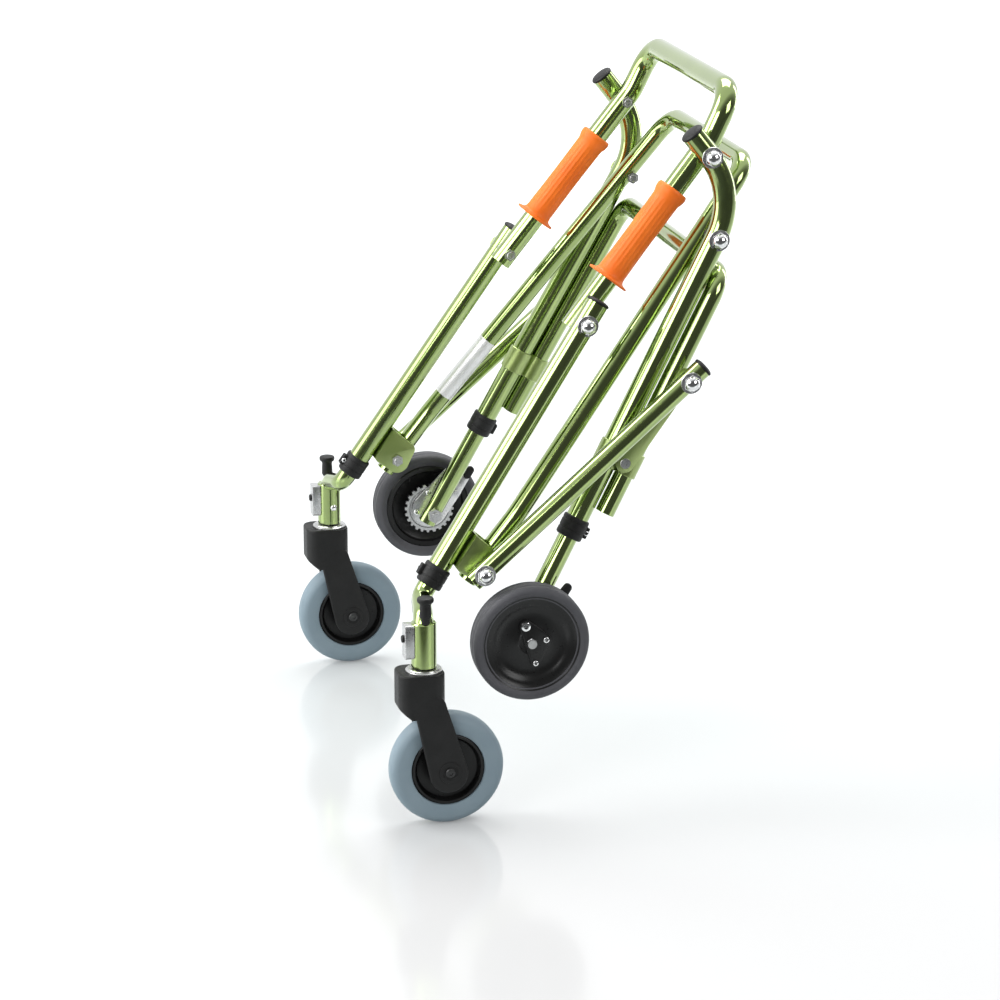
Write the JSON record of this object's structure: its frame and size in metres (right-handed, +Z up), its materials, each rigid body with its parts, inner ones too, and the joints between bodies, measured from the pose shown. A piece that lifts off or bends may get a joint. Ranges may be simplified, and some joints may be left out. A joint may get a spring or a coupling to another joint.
{
  "type": "folding walking frame",
  "caption": "Folding rear-positioned walking frame of lime tube with orange hand grips, swivel front casters and one-way rear wheels, shown folded.",
  "frame": {"origin": "middle of the bounding box on the floor under the casters", "axes": "+X rearwards (the open side faces -X, where the user looks), +Y to the user's right, +Z up; stored folded"},
  "size_m": [0.4456, 0.601, 0.7878],
  "materials": {
    "lime_tube": "bright lime-green anodised and polished",
    "lime_plate": "bright lime-green anodised",
    "black_plastic": "moulded, lightly textured",
    "orange_grip": "soft moulded, satin",
    "chrome": "polished",
    "silver": "zinc plated",
    "label": "satin silver foil, blank",
    "caster_tyre": "grey-blue solid rubber",
    "rear_tyre": "dark grey solid rubber",
    "black_hub": "moulded, satin gloss"
  },
  "bodies": {
    "front_frame": {"front_leg_left": "lime_tube", "front_leg_right": "lime_tube", "front_brackets": "lime_plate", "front_collars": "black_plastic", "rail_pivot_bolts": "chrome", "low_pivot_bolts": "chrome", "front_leg_plugs": "black_plastic"},
    "top_rail": {"top_rail": "lime_tube", "grip_left": "orange_grip", "grip_right": "orange_grip", "leg_pivot_bolts": "chrome"},
    "rear_frame": {"rear_leg_left": "lime_tube", "rear_leg_right": "lime_tube", "rear_loop": "lime_tube", "link_brackets": "lime_plate", "rear_collars": "black_plastic", "loop_pivot_bolts": "chrome", "rear_leg_plugs": "black_plastic"},
    "diagonal_loop": {"diagonal_loop": "lime_tube", "diagonal_loop_nuts": "chrome", "blank_label": "label"},
    "stretcher_left": {"stretcher_left": "lime_tube", "elbow_bolt_left": "chrome"},
    "rear_link_left": {"rear_link_left": "lime_plate"},
    "front_extension_left": {"front_extension_left": "lime_tube", "lock_clip_left": "silver"},
    "lock_knob_left": {"lock_knob_left": "black_plastic"},
    "caster_fork_left": {"caster_fork_left": "black_plastic", "caster_axle_left": "silver", "caster_stem_left": "silver"},
    "caster_wheel_left": {"caster_hub_left": "black_hub", "caster_tyre_left": "caster_tyre"},
    "rear_extension_left": {"rear_extension_left": "lime_tube", "ratchet_plate_left": "silver", "rear_axle_left": "silver"},
    "ratchet_lever_left": {"ratchet_lever_left": "silver"},
    "rear_wheel_left": {"rear_hub_left": "black_hub", "rear_tyre_left": "rear_tyre", "ratchet_drum_left": "silver"},
    "stretcher_right": {"stretcher_right": "lime_tube", "elbow_bolt_right": "chrome"},
    "rear_link_right": {"rear_link_right": "lime_plate"},
    "front_extension_right": {"front_extension_right": "lime_tube", "lock_clip_right": "silver"},
    "lock_knob_right": {"lock_knob_right": "black_plastic"},
    "caster_fork_right": {"caster_fork_right": "black_plastic", "caster_axle_right": "silver", "caster_stem_right": "silver"},
    "caster_wheel_right": {"caster_hub_right": "black_hub", "caster_tyre_right": "caster_tyre"},
    "rear_extension_right": {"rear_extension_right": "lime_tube", "ratchet_plate_right": "silver", "rear_axle_right": "silver"},
    "ratchet_lever_right": {"ratchet_lever_right": "silver"},
    "rear_wheel_right": {"rear_hub_right": "black_hub", "rear_tyre_right": "rear_tyre", "ratchet_drum_right": "silver"}
  },
  "joints": [
    {"name": "fold", "type": "hinge", "parent": "front_frame", "child": "top_rail", "pos_m": [0.01572, 0, 0.533], "axis": [0, 1, 0], "range_deg": [0, 51.8]},
    {"name": "rear_fold", "type": "hinge", "parent": "top_rail", "child": "rear_frame", "pos_m": [0.15573, 0, 0.711], "axis": [0, 1, 0], "range_deg": [-79.6, 0]},
    {"name": "loop_fold", "type": "hinge", "parent": "front_frame", "child": "diagonal_loop", "pos_m": [-0.11127, 0, 0.274], "axis": [0, 1, 0], "range_deg": [0, 27.3]},
    {"name": "stretcher_fold_left", "type": "hinge", "parent": "front_frame", "child": "stretcher_left", "pos_m": [-0.11127, -0.2491, 0.274], "axis": [0, 1, 0], "range_deg": [0, 51.9]},
    {"name": "link_fold_left", "type": "hinge", "parent": "stretcher_left", "child": "rear_link_left", "pos_m": [0.11972, -0.2308, 0.475], "axis": [0, 1, 0], "range_deg": [-166.9, 0]},
    {"name": "front_height_left", "type": "slide", "parent": "front_frame", "child": "front_extension_left", "axis": [-0.5519, -0.0873, -0.8294], "range_m": [0, 0.075]},
    {"name": "swivel_lock_left", "type": "slide", "parent": "front_extension_left", "child": "lock_knob_left", "axis": [0, 0, 1], "range_m": [0, 0.008], "stiffness_N_per_m": 150, "springref_m": -0.01},
    {"name": "caster_swivel_left", "type": "hinge", "parent": "front_extension_left", "child": "caster_fork_left", "pos_m": [-0.18327, -0.274, 0.16], "axis": [0, 0, 1], "continuous": true},
    {"name": "caster_spin_left", "type": "hinge", "parent": "caster_fork_left", "child": "caster_wheel_left", "pos_m": [-0.15927, -0.274, 0.0635], "axis": [0, 1, 0], "continuous": true},
    {"name": "rear_height_left", "type": "slide", "parent": "rear_frame", "child": "rear_extension_left", "axis": [0.4727, 0.0758, 0.8779], "range_m": [-0.015, 0.025]},
    {"name": "ratchet_release_left", "type": "hinge", "parent": "rear_extension_left", "child": "ratchet_lever_left", "pos_m": [-0.03228, -0.238, 0.22013], "axis": [0, 1, 0], "range_deg": [0, 20]},
    {"name": "rear_spin_left", "type": "hinge", "parent": "rear_extension_left", "child": "rear_wheel_left", "pos_m": [-0.06336, -0.267, 0.19825], "axis": [0, 1, 0], "continuous": true},
    {"name": "stretcher_fold_right", "type": "hinge", "parent": "front_frame", "child": "stretcher_right", "pos_m": [-0.11127, 0.2491, 0.274], "axis": [0, 1, 0], "range_deg": [0, 51.9]},
    {"name": "link_fold_right", "type": "hinge", "parent": "stretcher_right", "child": "rear_link_right", "pos_m": [0.11972, 0.2308, 0.475], "axis": [0, 1, 0], "range_deg": [-166.9, 0]},
    {"name": "front_height_right", "type": "slide", "parent": "front_frame", "child": "front_extension_right", "axis": [-0.5519, 0.0873, -0.8294], "range_m": [0, 0.075]},
    {"name": "swivel_lock_right", "type": "slide", "parent": "front_extension_right", "child": "lock_knob_right", "axis": [0, 0, 1], "range_m": [0, 0.008], "stiffness_N_per_m": 150, "springref_m": -0.01},
    {"name": "caster_swivel_right", "type": "hinge", "parent": "front_extension_right", "child": "caster_fork_right", "pos_m": [-0.18327, 0.274, 0.16], "axis": [0, 0, 1], "continuous": true},
    {"name": "caster_spin_right", "type": "hinge", "parent": "caster_fork_right", "child": "caster_wheel_right", "pos_m": [-0.15927, 0.274, 0.0635], "axis": [0, 1, 0], "continuous": true},
    {"name": "rear_height_right", "type": "slide", "parent": "rear_frame", "child": "rear_extension_right", "axis": [0.4727, -0.0758, 0.8779], "range_m": [-0.015, 0.025]},
    {"name": "ratchet_release_right", "type": "hinge", "parent": "rear_extension_right", "child": "ratchet_lever_right", "pos_m": [-0.03228, 0.238, 0.22013], "axis": [0, 1, 0], "range_deg": [0, 20]},
    {"name": "rear_spin_right", "type": "hinge", "parent": "rear_extension_right", "child": "rear_wheel_right", "pos_m": [-0.06336, 0.267, 0.19825], "axis": [0, 1, 0], "continuous": true}
  ],
  "couplings": [
    {"joint": "rear_fold", "follows": "fold", "ratio": -1.535},
    {"joint": "loop_fold", "follows": "fold", "ratio": 0.525},
    {"joint": "stretcher_fold_left", "follows": "fold", "ratio": 1},
    {"joint": "link_fold_left", "follows": "fold", "ratio": -3.22},
    {"joint": "stretcher_fold_right", "follows": "fold", "ratio": 1},
    {"joint": "link_fold_right", "follows": "fold", "ratio": -3.22}
  ]
}
